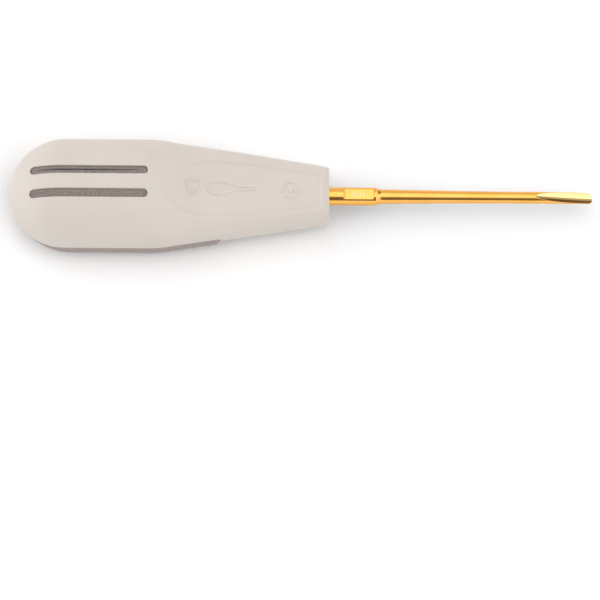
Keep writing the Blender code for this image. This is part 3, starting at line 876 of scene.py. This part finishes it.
# Blade, shank and tang are one bar.
bar = {
    "profile": (  # station and radius
        (40.0, 1.2),
        (40.6, 1.8),
        (76.4, 1.8),
        (76.4, 2.2),
        (76.5, 2.3),
        (95.58, 2.3),
        (95.68, 2.22),
        (95.9, 2.08),
        (96.2, 1.95),
        (96.9, 1.87),
        (104.0, 1.77),
        (115.0, 1.62),
        (128.0, 1.53),
        (152.0, 1.5),
    ),
    "flatSpan": (87.1, 95.1),
    "flatHeight": 1.85,
    "flatRunOut": 0.55,
    "fluteStart": 137.1,
    "fluteBlend": 0.12,
    "fluteRadius": 2.4,
    "fluteFall": 0.215,  # slope of its floor where it starts
    "fluteBow": 0.0038,  # eases that slope off towards the tip
    "tipRound": 1.5,
    "tipPower": 2.3,
    "lowerPoints": 66,
    "upperPoints": 30,
    "ringRuns": ((97.5, 133.4, 1.0), (133.4, 136.8, 0.2), (136.8, 138.0, 0.04), (138.0, 140.0, 0.12)),
    "restAngle": 40.0,  # half of the arc that counts as the top where the bar is plain, degrees
}


def barRadius(station):
    stations, radii = zip(*bar["profile"])
    return float(np.interp(station, stations, radii))


def flatTop(station):  # the cutter leaves a short round run-out at each end of the flat
    start, end = bar["flatSpan"]
    if not start < station < end:
        return None
    run = bar["flatRunOut"]
    inward = min(station - start, end - station)
    rise = barRadius(station) - bar["flatHeight"]
    if inward >= run:
        return bar["flatHeight"]
    return bar["flatHeight"] + rise * (1 - math.sqrt(1 - (1 - inward / run) ** 2))


def fluteFloor(station):
    run = float(ramp(station, bar["fluteStart"], bar["fluteBlend"]))
    return barRadius(station) - (bar["fluteFall"] * run - bar["fluteBow"] * run**2)


def topCurve(station):  # half width of the worked top, and its height at an offset
    radius = barRadius(station)
    flat = flatTop(station)
    if flat is not None and flat < radius:
        return math.sqrt(radius**2 - flat**2), lambda y: np.full_like(y, flat)
    floor = fluteFloor(station)
    if floor < radius - 1e-5:
        middle = floor + bar["fluteRadius"]
        rail = (radius**2 - bar["fluteRadius"] ** 2 + middle**2) / (2 * middle)
        half = math.sqrt(max(radius**2 - rail**2, 1e-8))
        return half, lambda y: middle - np.sqrt(bar["fluteRadius"] ** 2 - y**2)
    edges = [*bar["flatSpan"], bar["fluteStart"] - bar["fluteBlend"]]
    away = min(abs(station - edge) for edge in edges)
    half = radius * math.sin(math.radians(1.5 + bar["restAngle"] * float(ease(away, 0, 3.5))))
    return half, lambda y: np.sqrt(radius**2 - y**2)


def barRing(station, tipShare=None):  # tipShare: how much of the width is left in the rounded tip
    radius = barRadius(station)
    half, top = topCurve(station)
    half *= tipShare or 1
    edge = min(0.03, half * 0.2)  # the ground edges are broken by a hair
    start = math.asin(min(half / radius, 1))
    if tipShare or float(top(np.array([half]))[0]) < 0:
        start = math.pi - start
    if not tipShare:
        start += edge / radius
    angles = np.linspace(start, 2 * math.pi - start, bar["lowerPoints"])
    lower = np.column_stack([radius * np.sin(angles), radius * np.cos(angles)])
    offsets = -(half - edge) * np.cos(np.linspace(0, math.pi, bar["upperPoints"]))
    upper = np.column_stack([offsets, top(offsets)])
    cornerLeft = (lower[-1] + upper[0]) / 2
    cornerRight = (lower[0] + upper[-1]) / 2
    section = np.vstack([lower, cornerLeft, upper, cornerRight])
    return np.column_stack([np.full(len(section), station), section])


def barStations():
    stations = [s for s, _ in bar["profile"][:5]]
    stations += list(np.linspace(41, 76, 15)) + list(np.arange(77, 86.6, 0.8))
    for edge in bar["flatSpan"]:
        stations += list(edge + np.linspace(-3.4, 3.4, 35)) + list(edge + np.linspace(-0.6, 0.6, 25))
    stations += [s for s, _ in bar["profile"][5:10]] + list(np.linspace(95.7, 97.0, 14))
    for run in bar["ringRuns"]:
        stations += list(np.arange(*run))
    stations += list(np.arange(bar["ringRuns"][-1][1], toolLength - bar["tipRound"], 0.3))
    kept = []
    for s in sorted(stations):
        if not kept or s - kept[-1] > 0.012 or s == kept[-1] == bore["rear"]:
            kept.append(s)
    return kept


def makeBlade():
    rings = []
    for s in barStations():
        if s == bore["rear"]:  # the collar's square rear face
            rings.append(np.column_stack([np.full(len(rings[-1]), s), rings[-1][:, 1:]]))
        else:
            rings.append(barRing(s))
    tipStart = toolLength - bar["tipRound"]
    for turn in np.radians(np.linspace(4, 88, 22)):
        along = math.sin(turn)
        share = (1 - along ** bar["tipPower"]) ** (1 / bar["tipPower"])
        rings.append(barRing(tipStart + bar["tipRound"] * along, max(share, 0.02)))
    low, high = -barRadius(toolLength), fluteFloor(toolLength)
    blade = loftRings("bladeShank", rings, goldSteel, None, (toolLength, 0, (low + high) / 2))
    smooth(blade, 50)
    print("blade:", len(blade.data.polygons), "faces")
    ride(blade, "coated_steel", "blade_shank")


makeBlade()

# The hidden pieces keep their own meshes and get finishes.
for node, finish in (("handle_core", corePlastic), ("tang_pin", plainSteel), ("nose_seal", sealRubber)):
    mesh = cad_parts[node].data
    mesh.materials.clear()
    mesh.materials.append(finish)

studio = {
    "floorColour": (0.92, 0.92, 0.92),
    "cameraDistance": 0.9,
    "elevation": 71.5,  # of the line of sight to the tool
    "roll": -0.43,  # degrees
    "frameWidth": 0.1564,  # of the view where the tool lies
    "aimUp": -0.0271,  # from the tool's middle to the middle of the view, upwards in the view
    "key": {"place": (0.0, 0.27, 0.90), "size": (1.2, 0.9), "power": 1.15},
    "room": {
        "colour": (1.0, 1.0, 1.0),
        "doorColour": (1.0, 0.60, 0.40),
        "wall": 1.02,
        "ceiling": 0.26,
        "ceilingLean": 0.1,
        "ceilingSpan": (0.75, 0.97),
        "gapAway": (0.38, 0.52),
        "gapUp": (0.12, 0.36),
        "gapMiddle": -0.30,
        "gapSide": (0.40, 0.56),
        "gapDepth": 0.83,
        "windowMiddle": 0.38,
        "windowSide": (0.17, 0.23),
        "windowUp": (0.45, 0.6),
        "windowEnd": (0.18, 0.32),
        "windowGlow": 0.3,
        "doorDepth": 0.85,
        "leftSpan": (0.3, 0.9),
        "leftGlow": 0.85,
        "rightSpan": (0.5, 0.9),
        "rightGlow": 0.5,
        "nearSpan": (0.4, 0.9),
        "nearUp": (0.1, 0.5),
        "nearGlow": 0.25,
        "farSpan": (0.3, 0.9),
        "farShade": 0.15,
    },
}


def makeFloor():
    finish = Finish("studioFloor", roughness=0.9, specularIorLevel=0.1)
    grain = finish.noise(finish.place(), 2.0, 2)
    lighter = tuple(min(1.02 * c, 1) for c in studio["floorColour"])
    finish.feed(baseColor=finish.mix(grain, studio["floorColour"], lighter))
    mesh = bpy.data.meshes.new("studioFloor")
    reach = 3.0
    corners = [(-reach, -reach, 0), (reach, -reach, 0), (reach, reach, 0), (-reach, reach, 0)]
    mesh.from_pydata(corners, [], [(0, 1, 2, 3)])
    mesh.materials.append(finish.material)
    floor = bpy.data.objects.new("studioFloor", mesh)
    bpy.context.scene.collection.objects.link(floor)


def makeLight(name, place, size, power):  # aimed at the middle of the tool
    data = bpy.data.lights.new(name, "AREA")
    data.shape = "RECTANGLE"
    data.size, data.size_y = size
    data.energy = power
    light = bpy.data.objects.new(name, data)
    light.location = place
    light.rotation_euler = (-Vector(place)).to_track_quat("-Z", "Y").to_euler()
    bpy.context.scene.collection.objects.link(light)


def makeWorld():  # a bright room with a dark gap on the near side, a window and a dark door to the right
    world = bpy.data.worlds.new("softRoom")
    bpy.context.scene.world = world
    world.use_nodes = True
    nodes = Nodes(world.node_tree)
    look = studio["room"]
    sideways, away, up = nodes.axes(nodes.node("ShaderNodeTexCoord", out="Generated"))
    upright = math.sqrt(1 - look["ceilingLean"] ** 2)
    ceiling = (away * look["ceilingLean"] + up * upright).step(*look["ceilingSpan"])
    gap = (0 - away).step(*look["gapAway"]) * up.step(*look["gapUp"])
    gap = gap * (1 - abs(sideways - look["gapMiddle"]).step(*look["gapSide"]))
    window = 1 - abs(sideways - look["windowMiddle"]).step(*look["windowSide"])
    beyond = away.step(*look["windowEnd"])
    door = window * beyond
    window = window * (1 - beyond) * up.step(*look["windowUp"]) * look["windowGlow"]
    left = (0 - sideways).step(*look["leftSpan"]) * look["leftGlow"]
    right = sideways.step(*look["rightSpan"]) * look["rightGlow"]
    near = (0 - away).step(*look["nearSpan"]) * (1 - up.step(*look["nearUp"])) * look["nearGlow"]
    far = away.step(*look["farSpan"]) * look["farShade"]
    light = look["wall"] + ceiling * look["ceiling"] + left + right + near - far + window
    light = light * (1 - gap * look["gapDepth"]) * (1 - door * look["doorDepth"])
    background = world.node_tree.nodes["Background"]
    colour = nodes.mix(door, look["colour"], look["doorColour"])
    world.node_tree.links.new(light.socket, background.inputs["Strength"])
    world.node_tree.links.new(colour.socket, background.inputs["Color"])


def makeCamera():
    data = bpy.data.cameras.new("camera")
    camera = bpy.data.objects.new("camera", data)
    bpy.context.scene.collection.objects.link(camera)
    bpy.context.scene.camera = camera
    data.lens = data.sensor_width * studio["cameraDistance"] / studio["frameWidth"]
    data.clip_start, data.clip_end = 0.01, 10
    tilt = math.radians(studio["elevation"]) - math.atan(studio["aimUp"] / studio["cameraDistance"])
    back = Vector((0, -math.cos(tilt), math.sin(tilt)))
    upward = Vector((0, math.sin(tilt), math.cos(tilt)))
    aim = Vector((0, 0, toolOrigin[2])) + upward * studio["aimUp"]
    camera.location = aim + back * studio["cameraDistance"]
    camera.rotation_euler = (-back).to_track_quat("-Z", "Y").to_euler()
    camera.rotation_euler.rotate_axis("Z", math.radians(-studio["roll"]))


makeFloor()
makeLight("keySoftbox", **studio["key"])
makeWorld()
makeCamera()
bpy.context.scene.view_settings.view_transform = "Standard"
bpy.context.scene.cycles.caustics_reflective = False
print("studio set")
